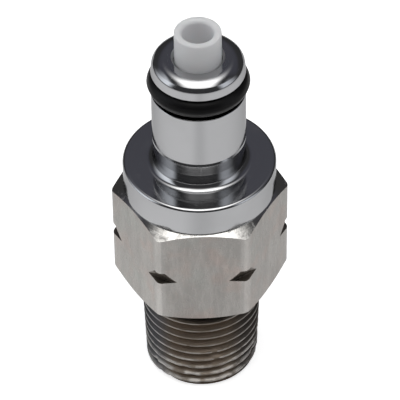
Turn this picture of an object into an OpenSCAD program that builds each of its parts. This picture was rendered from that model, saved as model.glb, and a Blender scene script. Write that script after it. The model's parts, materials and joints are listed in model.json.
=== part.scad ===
// Valved male insert of a quick disconnect coupling, with a tapered outside pipe thread.
// It stands on its threaded end: the origin is the centre of that end, and the nose points up.

/* [Pipe thread] */
// Outside diameter of the thread at its gauge plane
thread_d = 9.73; // [9.6:0.01:9.85]
// Distance from the threaded end to the gauge plane
gauge_l = 4; // [3:0.1:5]
// Pitch of the thread, crest to crest
thread_pitch = 0.907; // [0.8:0.001:1]
// Depth of the thread, crest to root
thread_depth = 0.58; // [0.4:0.01:0.62]
// Height of the first crest above the threaded end
first_crest = 0.59; // [0.5:0.01:0.8]
// Radius taken off the thread at its end
end_chamfer = 0.4; // [0.2:0.05:0.6]
// Length of the threaded shank, from its end to the hexagon
shank_l = 9.98; // [8:0.01:12]

/* [Hexagon] */
// Width of the hexagon across its flats
hex_af = 12.7; // [12.5:0.05:14]
// Height of the hexagon
hex_h = 9.74; // [9:0.01:12]
// Rounding of the hexagon's six upright edges
hex_edge_r = 0.55; // [0.2:0.05:0.8]
// Diameter of the flat left inside the chamfer at each end of the hexagon
hex_face_d = 12.1; // [12:0.05:12.4]
// Angle of the chamfer at each end of the hexagon
hex_chamfer_angle = 28; // [20:1:35]
// Diameter at the bottom of the V groove that notches the hexagon's edges
notch_d = 13.18; // [12.9:0.01:13.6]
// Angle of the V groove, side to side
notch_angle = 90; // [60:1:100]
// Height of the V groove above the threaded end
notch_z = 14.97; // [14.6:0.01:15.2]

/* [Stem] */
// Diameter of the collar
collar_d = 12.58; // [12.3:0.01:13]
// Thickness of the collar
collar_t = 2.68; // [2:0.01:4]
// Rounding of the collar's upper rim
collar_rim_r = 0.28; // [0.1:0.01:0.4]
// Rounding of the collar's lower rim
collar_foot_r = 0.12; // [0.05:0.01:0.3]
// Diameter of the sealed stem
stem_d = 7.64; // [7.5:0.01:8]
// Width of the latch groove between the collar and the stem
latch_w = 1.45; // [1.2:0.05:2.5]
// Diameter at the bottom of the latch groove
latch_d = 7.3; // [7:0.05:7.3]
// Fillet between the latch groove and the collar
latch_fillet = 0.38; // [0.2:0.01:0.6]
// Length of the plain stem between the latch groove and the seal groove
stem_l = 6.02; // [5:0.01:9]
// Height of the nose above the seal groove
nose_h = 1.45; // [1.1:0.01:2]
// Rounding of the nose
nose_r = 0.8; // [0.4:0.01:0.9]
// Radius that the nose loses between the seal groove and its rounding, as a lead-in
nose_lead = 0.04; // [0.01:0.01:0.1]
// Width of the small break on the stem's sharp edges
edge_break = 0.06; // [0.03:0.01:0.1]

/* [Stem seal] */
// Thickness of the outer seal ring
seal_section = 1.78; // [1.7:0.01:1.8]
// Distance that the seal ring stands out of the stem
seal_proud = 0.33; // [0.25:0.01:0.4]
// Width of the groove that holds the seal ring
seal_groove_w = 2.08; // [1.9:0.01:2.4]

/* [Valve] */
// Outside diameter of the valve tube
tube_d = 3.78; // [3.4:0.01:3.8]
// Bore of the valve tube
tube_bore_d = 2.54; // [2.2:0.01:2.7]
// Distance that the valve tube stands out of the nose
tube_proud = 2.55; // [2.52:0.01:3]
// Rounding of the tube's rim, outside and round the mouth of its bore
tube_rim_r = 0.15; // [0.05:0.01:0.25]
// Travel of the valve from shut to open
valve_travel = 2.5; // [2:0.1:2.5]
// Diameter of the cross ports
port_d = 1.4; // [1:0.05:1.5]
// Wall left between the ports and the valve's seal groove
port_wall = 0.25; // [0.2:0.01:0.4]
// Thickness of the valve's seal ring
valve_seal_section = 0.9; // [0.8:0.01:0.95]
// Depth of the valve's seal groove
valve_groove_depth = 0.26; // [0.2:0.01:0.3]
// Diameter of the valve's head
head_d = 5.5; // [5.3:0.05:5.7]
// Thickness of the valve's head
head_t = 1.2; // [1:0.05:1.6]
// Diameter of each flow scallop in the valve's head
scallop_d = 1.6; // [1.2:0.05:1.7]
// Distance of each scallop's centre from the axis
scallop_at = 3; // [2.9:0.05:3.1]
// Number of flow scallops in the valve's head
scallop_count = 4; // [3:1:6]
// Length of the pin below the head that centres the spring
pin_l = 1.6; // [1:0.1:2.5]
// Diameter of the pin below the head
pin_d = 4; // [3.4:0.05:4.3]

/* [Passage] */
// Diameter of the bore through the threaded shank
flow_d = 4.6; // [4.2:0.05:4.8]
// Depth of that bore, from the threaded end to the spring's shoulder
flow_l = 14.2; // [12:0.1:14.8]
// Diameter of the valve chamber
chamber_d = 6; // [5.9:0.05:6.1]
// Drop from the seal groove to the top of the valve seat
seat_drop = 0.63; // [0.5:0.01:0.9]
// Chamfer at the mouth of the valve's guide bore
guide_chamfer = 0.21; // [0.1:0.01:0.3]
// Chamfer at the mouth of the bore in the threaded end
flow_chamfer = 0.3; // [0.1:0.05:0.5]

/* [Body joint] */
// Diameter of the stem body's spigot, which screws into the hexagon
spigot_d = 9.2; // [8.8:0.05:9.4]
// Length of the spigot below the collar
spigot_l = 4.4; // [3.5:0.1:4.4]
// Thickness of the joint's seal ring
joint_section = 0.9; // [0.8:0.01:0.95]

/* [Spring] */
// Diameter of the spring's wire
wire_d = 0.5; // [0.4:0.01:0.5]
// Number of turns of the spring, with its closed end turns
spring_turns = 9; // [7:1:10]

/* [Fits] */
// Radial clearance of the valve tube in its guide bore
slide_fit = 0.05; // [0.03:0.01:0.08]
// Gap between a seal ring and the surface that it seals on or sits on
ring_gap = 0.02; // [0.01:0.01:0.03]
// Gap between the shut valve's seal ring and its seat
seat_gap = 0.03; // [0.02:0.01:0.05]
// Radial clearance of the spring in the valve chamber
spring_gap = 0.15; // [0.1:0.01:0.2]
// Radial clearance between the spigot and its socket
spigot_fit = 0.03; // [0.02:0.01:0.05]

/* [Hidden] */
$fn = 64;

// Overlap of a cut beyond the face that it starts from
over = 1;
// Points along each quarter round of an outline
arc_steps = 8;
// Radius lost per unit of height on a 1 in 16 taper
thread_slope = 1 / 32;
// Half the flat on a thread crest, and half the flat in a thread root
crest_half = thread_pitch / 12;
// Relief between the last thread and the hexagon
relief_l = thread_pitch;

// Levels above the threaded end
hex_z = shank_l;
collar_z = hex_z + hex_h;
latch_z = collar_z + collar_t;
stem_z = latch_z + latch_w;
seal_groove_z = stem_z + stem_l;
nose_z = seal_groove_z + seal_groove_w;
face_z = nose_z + nose_h;
tube_top_z = face_z + tube_proud;

// Radii of the stem and of its seal ring
stem_r = stem_d / 2;
latch_r = latch_d / 2;
collar_r = collar_d / 2;
seal_mid_r = stem_r + seal_proud - seal_section / 2;
seal_groove_r = seal_mid_r - seal_section / 2 - ring_gap;
spigot_r = spigot_d / 2;
joint_mid_r = spigot_r + ring_gap + joint_section / 2;
pocket_r = joint_mid_r + joint_section / 2 + ring_gap;
pocket_t = joint_section + 2 * ring_gap;
spigot_end_z = collar_z - spigot_l;
socket_end_z = spigot_end_z - ring_gap;

// Valve, seat and spring
tube_r = tube_d / 2;
tube_bore_r = tube_bore_d / 2;
guide_r = tube_r + slide_fit;
chamber_r = chamber_d / 2;
seat_z = seal_groove_z - seat_drop;
seat_h = chamber_r - guide_r;
valve_groove_r = tube_r - valve_groove_depth;
valve_seal_r = valve_seal_section / 2;
valve_seal_mid_r = valve_groove_r + ring_gap + valve_seal_r;
valve_seal_z = seat_z + guide_r - valve_seal_mid_r - (valve_seal_r + seat_gap) * sqrt(2);
valve_groove_half = valve_seal_r + 2 * ring_gap;
head_top_z = valve_seal_z - valve_groove_half;
head_z = head_top_z - head_t;
port_z = valve_seal_z + valve_groove_half + port_wall + port_d / 2;
wire_r = wire_d / 2;
spring_mid_r = chamber_r - spring_gap - wire_r;
spring_z = flow_l + ring_gap;
spring_l = head_z - spring_z - ring_gap;

// Points of a round: centre, radius, first and last angle
function arc(c, r, a0, a1) = [
    for (i = [0 : arc_steps])
        let (a = a0 + (a1 - a0) * i / arc_steps)
            [c[0] + r * cos(a), c[1] + r * sin(a)]
];

// Radius of the thread's crests at a height
function crest_r(z) = thread_d / 2 + (z - gauge_l) * thread_slope;

// Number of whole crests that fit under the relief
crest_count = floor((shank_l - relief_l - first_crest) / thread_pitch) + 1;

// Outline of the threaded shank, one ridge for each turn of the thread
function shank_outline() = concat(
    [[0, 0], [crest_r(0) - end_chamfer, 0]],
    [
        for (i = [0 : crest_count - 1])
            let (z = first_crest + i * thread_pitch)
                each [
                    [crest_r(z), z - crest_half],
                    [crest_r(z), z + crest_half],
                    [crest_r(z) - thread_depth, z + thread_pitch / 2 - crest_half],
                    [crest_r(z) - thread_depth, z + thread_pitch / 2 + crest_half]
                ]
    ],
    [
        [crest_r(hex_z) - thread_depth, hex_z - relief_l / 3],
        [crest_r(hex_z) - thread_depth, hex_z + over],
        [0, hex_z + over]
    ]
);

// Section of the hexagon, with its upright edges rounded
module hex_section() {
    edge_at = (hex_af / 2 - hex_edge_r) / cos(30);
    polygon([
        for (i = [0 : 5])
            for (a = [-30, -15, 0, 15, 30])
                edge_at * [cos(60 * i), sin(60 * i)]
                    + hex_edge_r * [cos(60 * i + a), sin(60 * i + a)]
    ]);
}

// Turned envelope of the hexagon: chamfered ends and the V groove round its middle
module hex_envelope() {
    wide_r = hex_af / 2 / cos(30) + over;
    face_r = hex_face_d / 2;
    chamfer_h = (wide_r - face_r) * tan(hex_chamfer_angle);
    notch_half = (wide_r - notch_d / 2) * tan(notch_angle / 2);
    rotate_extrude()
        polygon([
            [0, hex_z],
            [face_r, hex_z],
            [wide_r, hex_z + chamfer_h],
            [wide_r, notch_z - notch_half],
            [notch_d / 2, notch_z],
            [wide_r, notch_z + notch_half],
            [wide_r, collar_z - chamfer_h],
            [face_r, collar_z],
            [0, collar_z]
        ]);
}

// Hexagon piece: bar hexagon, pipe thread, socket for the spigot, spring shoulder and bore
module hex_adapter() {
    color("#a39e97")
        difference() {
            union() {
                intersection() {
                    translate([0, 0, hex_z])
                        linear_extrude(hex_h)
                            hex_section();
                    hex_envelope();
                }
                rotate_extrude()
                    polygon(shank_outline());
            }
            translate([0, 0, collar_z - pocket_t])
                cylinder(h = pocket_t + over, r = pocket_r);
            translate([0, 0, socket_end_z])
                cylinder(h = spigot_l + over, r = spigot_r + spigot_fit);
            translate([0, 0, flow_l])
                cylinder(h = socket_end_z - flow_l + over, r = chamber_r);
            translate([0, 0, -over])
                cylinder(h = flow_l + 2 * over, d = flow_d);
            translate([0, 0, -flow_chamfer])
                cylinder(h = 2 * flow_chamfer, r1 = flow_d / 2 + 2 * flow_chamfer, r2 = flow_d / 2);
        }
}

// Outline of the turned stem body, from the spigot's end to the nose
function stem_outline() = concat(
    [
        [0, spigot_end_z],
        [spigot_r - 2 * edge_break, spigot_end_z],
        [spigot_r, spigot_end_z + 2 * edge_break],
        [spigot_r, collar_z]
    ],
    arc([collar_r - collar_foot_r, collar_z + collar_foot_r], collar_foot_r, -90, 0),
    arc([collar_r - collar_rim_r, latch_z - collar_rim_r], collar_rim_r, 0, 90),
    arc([latch_r + latch_fillet, latch_z + latch_fillet], latch_fillet, 270, 180),
    [
        [latch_r, stem_z],
        [stem_r - edge_break, stem_z],
        [stem_r, stem_z + edge_break],
        [stem_r, seal_groove_z - edge_break],
        [stem_r - edge_break, seal_groove_z],
        [seal_groove_r, seal_groove_z],
        [seal_groove_r, nose_z],
        [stem_r - edge_break, nose_z],
        [stem_r, nose_z + edge_break]
    ],
    arc([stem_r - nose_lead - nose_r, face_z - nose_r], nose_r, 0, 90),
    [[0, face_z]]
);

// Stem body: one turning, bored from below for the valve and guided at the nose
module stem_body() {
    color("#b9bcc2")
        difference() {
            rotate_extrude()
                polygon(stem_outline());
            translate([0, 0, spigot_end_z - over])
                cylinder(h = seat_z - seat_h - spigot_end_z + over, r = chamber_r);
            translate([0, 0, seat_z - seat_h])
                cylinder(h = seat_h, r1 = chamber_r, r2 = guide_r);
            translate([0, 0, seat_z - over / 10])
                cylinder(h = face_z - seat_z + over, r = guide_r);
            translate([0, 0, face_z - guide_chamfer])
                cylinder(h = 2 * guide_chamfer, r1 = guide_r, r2 = guide_r + 2 * guide_chamfer);
        }
}

// Round rubber ring: radius to the middle of its section, thickness, height of its middle
module rubber_ring(mid_r, section, z) {
    color("#1b1b1d")
        translate([0, 0, z])
            rotate_extrude()
                translate([mid_r, 0])
                    circle(d = section);
}

module stem_seal_ring() {
    rubber_ring(seal_mid_r, seal_section, seal_groove_z + seal_groove_w / 2);
}

module joint_seal_ring() {
    rubber_ring(joint_mid_r, joint_section, collar_z - pocket_t / 2);
}

module valve_seal_ring() {
    rubber_ring(valve_seal_mid_r, valve_seal_section, valve_seal_z);
}

// Outline of the valve: spring pin, head, seal groove, tube with its rounded rim, and bore
function valve_outline() = concat(
    [
        [0, head_z - pin_l],
        [pin_d / 2 - 2 * edge_break, head_z - pin_l],
        [pin_d / 2, head_z - pin_l + 2 * edge_break],
        [pin_d / 2, head_z],
        [head_d / 2, head_z],
        [head_d / 2, head_top_z - edge_break],
        [head_d / 2 - edge_break, head_top_z],
        [valve_groove_r, head_top_z],
        [valve_groove_r, valve_seal_z + valve_groove_half],
        [tube_r, valve_seal_z + valve_groove_half]
    ],
    arc([tube_r - tube_rim_r, tube_top_z - tube_rim_r], tube_rim_r, 0, 90),
    arc([tube_bore_r + tube_rim_r, tube_top_z - tube_rim_r], tube_rim_r, 90, 180),
    [
        [tube_bore_r, port_z - port_d / 2],
        [0, port_z - port_d / 2]
    ]
);

// Valve: open tube above, cross ports over the seal, scalloped head below
module valve_tube() {
    color("#e9e8ea")
        difference() {
            rotate_extrude()
                polygon(valve_outline());
            for (turn = [0, 90])
                rotate([0, 0, turn])
                    translate([0, 0, port_z])
                        rotate([0, 90, 0])
                            cylinder(h = tube_d + over, d = port_d, center = true);
            for (i = [0 : scallop_count - 1])
                rotate([0, 0, 360 * (i + 0.5) / scallop_count])
                    translate([scallop_at, 0, head_z - over / 10])
                        cylinder(h = head_t + over / 5, d = scallop_d);
        }
}

// Height of the wire's middle after a number of turns: closed end turns, open turns between
end_pitch = 1.12 * wire_d;
open_pitch = (spring_l - wire_d - 2 * end_pitch) / (spring_turns - 2);
function wire_z(t) =
    spring_z + wire_r
        + end_pitch * (min(t, 1) + max(t - spring_turns + 1, 0))
        + open_pitch * max(min(t, spring_turns - 1) - 1, 0);

// Compression spring: one round wire swept along its helix
module valve_spring() {
    sides = 8;
    steps = 20;
    rings = spring_turns * steps;
    points = [
        for (i = [0 : rings])
            for (k = [0 : sides - 1])
                let (
                    t = i / steps,
                    a = 360 * t,
                    b = 360 * k / sides,
                    r = spring_mid_r + wire_r * cos(b)
                )
                    [r * cos(a), r * sin(a), wire_z(t) + wire_r * sin(b)]
    ];
    walls = [
        for (i = [0 : rings - 1])
            for (k = [0 : sides - 1])
                let (j = (k + 1) % sides)
                    each [
                        [i * sides + k, (i + 1) * sides + k, (i + 1) * sides + j],
                        [i * sides + k, (i + 1) * sides + j, i * sides + j]
                    ]
    ];
    caps = [
        [for (k = [0 : sides - 1]) k],
        [for (k = [sides - 1 : -1 : 0]) rings * sides + k]
    ];
    color("#8d8f92")
        polyhedron(points, concat(walls, caps));
}

stem_body();
hex_adapter();
stem_seal_ring();
valve_tube();
valve_seal_ring();
valve_spring();
joint_seal_ring();
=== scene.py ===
"""Looks for a valved male insert of a quick disconnect coupling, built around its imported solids.

The turned stem body, the hexagon with its pipe thread, the seal rings and the white valve are modelled
here in millimetres on the insert's own axis, brought to metres when they are finished, and dressed with
procedural finishes. The frame gives the levels and diameters that they share with the solids.
"""

import json
import logging
import math
import random
from dataclasses import dataclass, field
from enum import Enum, IntEnum
from typing import Callable, NamedTuple

import bmesh
import bpy
from mathutils import Matrix, Vector


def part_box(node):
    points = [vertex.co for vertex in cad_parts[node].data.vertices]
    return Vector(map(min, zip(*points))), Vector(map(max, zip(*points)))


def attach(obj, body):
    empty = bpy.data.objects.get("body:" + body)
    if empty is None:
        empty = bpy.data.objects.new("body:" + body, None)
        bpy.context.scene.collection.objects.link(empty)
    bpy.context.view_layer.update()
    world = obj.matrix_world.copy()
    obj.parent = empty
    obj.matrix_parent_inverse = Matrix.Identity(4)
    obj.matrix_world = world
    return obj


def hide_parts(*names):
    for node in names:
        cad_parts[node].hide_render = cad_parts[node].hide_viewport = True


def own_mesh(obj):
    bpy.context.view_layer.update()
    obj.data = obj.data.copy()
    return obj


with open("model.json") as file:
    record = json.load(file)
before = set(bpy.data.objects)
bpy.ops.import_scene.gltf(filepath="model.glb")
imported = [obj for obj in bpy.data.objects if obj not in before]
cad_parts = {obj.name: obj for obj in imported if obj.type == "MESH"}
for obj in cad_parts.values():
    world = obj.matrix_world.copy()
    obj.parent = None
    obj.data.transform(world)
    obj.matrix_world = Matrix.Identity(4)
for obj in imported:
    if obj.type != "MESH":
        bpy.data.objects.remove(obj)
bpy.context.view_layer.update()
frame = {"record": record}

LOG = logging.getLogger("coupling")
MM = 0.001
FULL_TURN = 2 * math.pi
# Millimetres that a form reaches past the piece that it shapes.
OVER = 0.5
# Points of a turned piece that are closer than this, in millimetres, are merged.
WELD = 0.0004

Colour = tuple[float, float, float, float]
Stretch = tuple[float, float, float]
Outline = list[tuple[float, float]]
Solid = bpy.types.Object
Material = bpy.types.Material
Node = bpy.types.Node
Socket = bpy.types.NodeSocket


class Slot(Enum):
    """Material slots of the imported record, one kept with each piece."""

    POLISHED = "polished_plate"
    BRUSHED = "brushed_plate"
    RUBBER = "seal_rubber"
    ACETAL = "white_acetal"
    SPRING = "spring_steel"


class Cut(Enum):
    """How one solid is combined with another."""

    AWAY = "DIFFERENCE"
    JOIN = "UNION"
    COMMON = "INTERSECT"


class Part(IntEnum):
    """Faces of the hexagon piece, by the index of their finish."""

    FLAT = 0
    CUT = 1
    THREAD = 2
    GROOVE = 3


class Corner(NamedTuple):
    """One corner of a turned outline: radius and height in millimetres, and its rounding."""

    r: float
    z: float
    fillet: float = 0.0


class Ramp(NamedTuple):
    """A smooth change: the range that a value runs through and what it becomes."""

    low: float
    high: float
    to_low: float = 0.0
    to_high: float = 1.0


class Panel(NamedTuple):
    """One tall bright panel of the surround: its side, its two edges in azimuth with their blur, its tone."""

    side: int
    near: float
    near_blur: float
    far: float
    far_blur: float
    tone: Colour


class Thread:
    """The pipe thread's standard form, in millimetres."""

    gauge_r = 4.865
    gauge_l = 4.0
    slope = 1 / 32
    pitch = 0.907
    depth = 0.58


class Span(NamedTuple):
    """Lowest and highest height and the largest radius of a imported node, in millimetres."""

    low: float
    high: float
    r: float


def node_span(node: str) -> Span:
    """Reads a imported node's levels and radius.

    Args:
        node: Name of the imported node.

    Returns:
        Its heights and its radius along X, in millimetres.
    """
    low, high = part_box(node)
    return Span(low.z / MM, high.z / MM, high.x / MM)


def softened(corners: list[Corner], step: float = math.radians(11)) -> Outline:
    """Rounds the corners of an open or closed outline.

    Args:
        corners: Corners in order; the first and the last keep their sharp form.
        step: Largest turn between two points of an arc.

    Returns:
        Points (radius, height) along the rounded outline.
    """
    points: Outline = []
    last = len(corners) - 1
    for i, corner in enumerate(corners):
        here = Vector((corner.r, corner.z))
        if not corner.fillet or i in (0, last):
            points.append((here.x, here.y))
            continue
        back = (Vector(corners[i - 1][:2]) - here).normalized()
        ahead = (Vector(corners[i + 1][:2]) - here).normalized()
        half = back.angle(ahead) / 2
        reach = corner.fillet / math.tan(half)
        centre = here + (back + ahead).normalized() * corner.fillet / math.sin(half)
        start = here + back * reach - centre
        turn = math.pi - 2 * half
        side = 1 if start.y * back.x - start.x * back.y > 0 else -1
        count = max(2, math.ceil(turn / step))
        for k in range(count + 1):
            angle = side * turn * k / count
            c, s = math.cos(angle), math.sin(angle)
            aside, up = start.x * c - start.y * s, start.x * s + start.y * c
            points.append((centre.x + aside, centre.y + up))
    return points


class Bench:
    """Modelling steps done with Blender's own operators, in millimetres."""

    @staticmethod
    def clear() -> None:
        """Deselects everything."""
        bpy.ops.object.select_all(action="DESELECT")

    @staticmethod
    def pick(piece: Solid) -> None:
        """Makes one piece the only selected and the active one."""
        Bench.clear()
        piece.select_set(True)
        bpy.context.view_layer.objects.active = piece

    @staticmethod
    def edit(piece: Solid, chosen: Callable[[bmesh.types.BMEdge], bool] | None = None) -> None:
        """Opens a piece in edit mode.

        Args:
            piece: Piece to open.
            chosen: Says which edges are selected; everything is when it is left out.
        """
        Bench.pick(piece)
        bpy.ops.object.mode_set(mode="EDIT")
        bpy.ops.mesh.select_mode(type="EDGE")
        bpy.ops.mesh.select_all(action="SELECT" if chosen is None else "DESELECT")
        if chosen is not None:
            mesh = bmesh.from_edit_mesh(piece.data)
            for edge in mesh.edges:
                if chosen(edge):
                    edge.select_set(True)
            mesh.select_flush_mode()
            bmesh.update_edit_mesh(piece.data)

    @staticmethod
    def close(outward: bool = False) -> None:
        """Leaves edit mode, with every face turned outward first where that is asked for."""
        if outward:
            bpy.ops.mesh.select_all(action="SELECT")
            bpy.ops.mesh.normals_make_consistent(inside=False)
        bpy.ops.object.mode_set(mode="OBJECT")

    @staticmethod
    def cap() -> None:
        """Fills the open ends of the piece that is open in edit mode."""
        bpy.ops.mesh.select_all(action="DESELECT")
        bpy.ops.mesh.select_non_manifold()
        bpy.ops.mesh.fill_holes(sides=0)

    @staticmethod
    def sweep(piece: Solid, rise: float, turns: int, steps: int) -> None:
        """Sweeps a profile up a helix round the axis.

        Args:
            piece: Profile that is swept.
            rise: Rise of one turn.
            turns: Number of turns.
            steps: Steps in one turn.
        """
        screw = piece.modifiers.new("sweep", "SCREW")
        screw.axis = "Z"
        screw.angle = FULL_TURN
        screw.screw_offset = rise
        screw.iterations = turns
        screw.steps = screw.render_steps = steps
        Bench.pick(piece)
        bpy.ops.object.modifier_apply(modifier=screw.name)

    @staticmethod
    def turned(name: str, outline: Outline, segments: int, ring: bool) -> Solid:
        """Turns a solid from its outline, one extruded circle at a time.

        Args:
            name: Name of the new piece.
            outline: Points (radius, height) in order.
            segments: Faces round the axis.
            ring: True where the outline closes on itself round a bore, False where its ends are capped.

        Returns:
            The turned piece.
        """
        Bench.clear()
        r, z = outline[0]
        bpy.ops.mesh.primitive_circle_add(vertices=segments, radius=r, fill_type="NOTHING")
        piece = bpy.context.object
        piece.name = name
        Bench.edit(piece)
        bpy.ops.transform.translate(value=(0, 0, z))
        path = outline[1:] + ([outline[0]] if ring else [])
        for next_r, next_z in path:
            bpy.ops.mesh.extrude_edges_move(TRANSFORM_OT_translate={"value": (0, 0, next_z - z)})
            if abs(next_r - r) > 1e-9:
                grow = next_r / r
                bpy.ops.transform.resize(value=(grow, grow, 1), center_override=(0, 0, 0))
            r, z = next_r, next_z
        bpy.ops.mesh.select_all(action="SELECT")
        bpy.ops.mesh.remove_doubles(threshold=WELD)
        if not ring:
            Bench.cap()
        Bench.close(outward=True)
        return piece

    @staticmethod
    def rod(r: float, length: float, middle: Vector, turn: tuple[float, str] | None = None) -> Solid:
        """Adds a round cutting rod.

        Args:
            r: Radius.
            length: Length.
            middle: Place of its middle.
            turn: Angle and axis letter that it is turned by before it is placed.

        Returns:
            The rod.
        """
        rod_sides = 48
        Bench.clear()
        bpy.ops.mesh.primitive_cylinder_add(vertices=rod_sides, radius=r, depth=length)
        rod = bpy.context.object
        Bench.edit(rod)
        if turn:
            bpy.ops.transform.rotate(value=turn[0], orient_axis=turn[1], center_override=(0, 0, 0))
        bpy.ops.transform.translate(value=middle)
        Bench.close()
        return rod

    @staticmethod
    def combine(piece: Solid, tool: Solid, cut: Cut) -> None:
        """Combines a piece with a tool and removes the tool.

        Args:
            piece: Piece that is kept.
            tool: Solid that is used up.
            cut: How the two are combined.
        """
        Bench.pick(piece)
        step = piece.modifiers.new("combine", "BOOLEAN")
        step.operation = cut.value
        step.solver = "EXACT"
        step.object = tool
        bpy.ops.object.modifier_apply(modifier=step.name)
        bpy.data.objects.remove(tool)

    @staticmethod
    def smooth(piece: Solid, angle: float = math.radians(24)) -> None:
        """Smooths a piece's shading up to an angle and lets its large faces lead."""
        Bench.pick(piece)
        bpy.ops.object.shade_smooth_by_angle(angle=angle)
        lead = piece.modifiers.new("lead", "WEIGHTED_NORMAL")
        lead.mode = "FACE_AREA"
        lead.weight = 100
        lead.keep_sharp = True
        bpy.ops.object.modifier_apply(modifier=lead.name)

    @staticmethod
    def to_metres(piece: Solid) -> None:
        """Brings a finished piece from millimetres to metres, with its object unscaled."""
        Bench.pick(piece)
        piece.scale = (MM, MM, MM)
        bpy.ops.object.transform_apply(location=False, rotation=False, scale=True)


class Tree:
    """A node tree that is wired in short lines."""

    def __init__(self, tree: bpy.types.NodeTree) -> None:
        """Keeps the tree and empties it."""
        self.tree = tree
        tree.nodes.clear()

    def add(self, kind: str, inputs: dict | None = None, **settings: object) -> Node:
        """Adds a node.

        Args:
            kind: Blender's name of the node type.
            inputs: Value or source socket for each named or numbered input.
            settings: Settings of the node itself.

        Returns:
            The new node.
        """
        node = self.tree.nodes.new(kind)
        for name, value in settings.items():
            setattr(node, name, value)
        for name, value in (inputs or {}).items():
            if isinstance(value, Socket):
                self.tree.links.new(value, node.inputs[name])
            else:
                node.inputs[name].default_value = value
        return node

    def link(self, value: Socket, node: Node, name: str) -> None:
        """Feeds a result to a node's input."""
        self.tree.links.new(value, node.inputs[name])

    def math(self, operation: str, a: object, b: object = 0.0, clamp: bool = False) -> Socket:
        """Adds a math node and returns its result."""
        node = self.add("ShaderNodeMath", {0: a, 1: b}, operation=operation, use_clamp=clamp)
        return node.outputs[0]

    def total(self, base: object, *parts: tuple[Socket, float]) -> Socket:
        """Adds results, each times its share, to a base and returns the sum."""
        for part, share in parts:
            base = self.math("ADD", base, self.math("MULTIPLY", part, share))
        return base

    def place(self) -> tuple[Socket, Node, Socket]:
        """Returns the place on the object, the node that splits it and its distance from the axis."""
        place = self.add("ShaderNodeTexCoord").outputs["Object"]
        axes = self.add("ShaderNodeSeparateXYZ", {0: place})
        flat = self.add("ShaderNodeCombineXYZ", {"X": axes.outputs["X"], "Y": axes.outputs["Y"]})
        radius = self.add("ShaderNodeVectorMath", {0: flat.outputs[0]}, operation="LENGTH")
        return place, axes, radius.outputs["Value"]

    def ramp(
        self, value: object, low: float, high: float, to_low: float = 0.0, to_high: float = 1.0
    ) -> Socket:
        """Maps a value smoothly from one range to another and returns the result."""
        node = self.add(
            "ShaderNodeMapRange",
            {"Value": value, "From Min": low, "From Max": high, "To Min": to_low, "To Max": to_high},
            interpolation_type="SMOOTHSTEP",
        )
        return node.outputs["Result"]

    def blend(self, amount: object, a: object, b: object) -> Socket:
        """Mixes two colours and returns the result."""
        node = self.add("ShaderNodeMix", data_type="RGBA")
        for name, value in (("Factor_Float", amount), ("A_Color", a), ("B_Color", b)):
            socket = next(s for s in node.inputs if s.identifier == name)
            if isinstance(value, Socket):
                self.tree.links.new(value, socket)
            else:
                socket.default_value = value
        return next(s for s in node.outputs if s.identifier == "Result_Color")

    def noise(self, where: object, scale: float, detail: float = 3.0, rough: float = 0.55) -> Socket:
        """Adds a noise texture and returns its value."""
        inputs = {"Vector": where, "Scale": scale, "Detail": detail, "Roughness": rough}
        return self.add("ShaderNodeTexNoise", inputs).outputs["Fac"]


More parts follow.
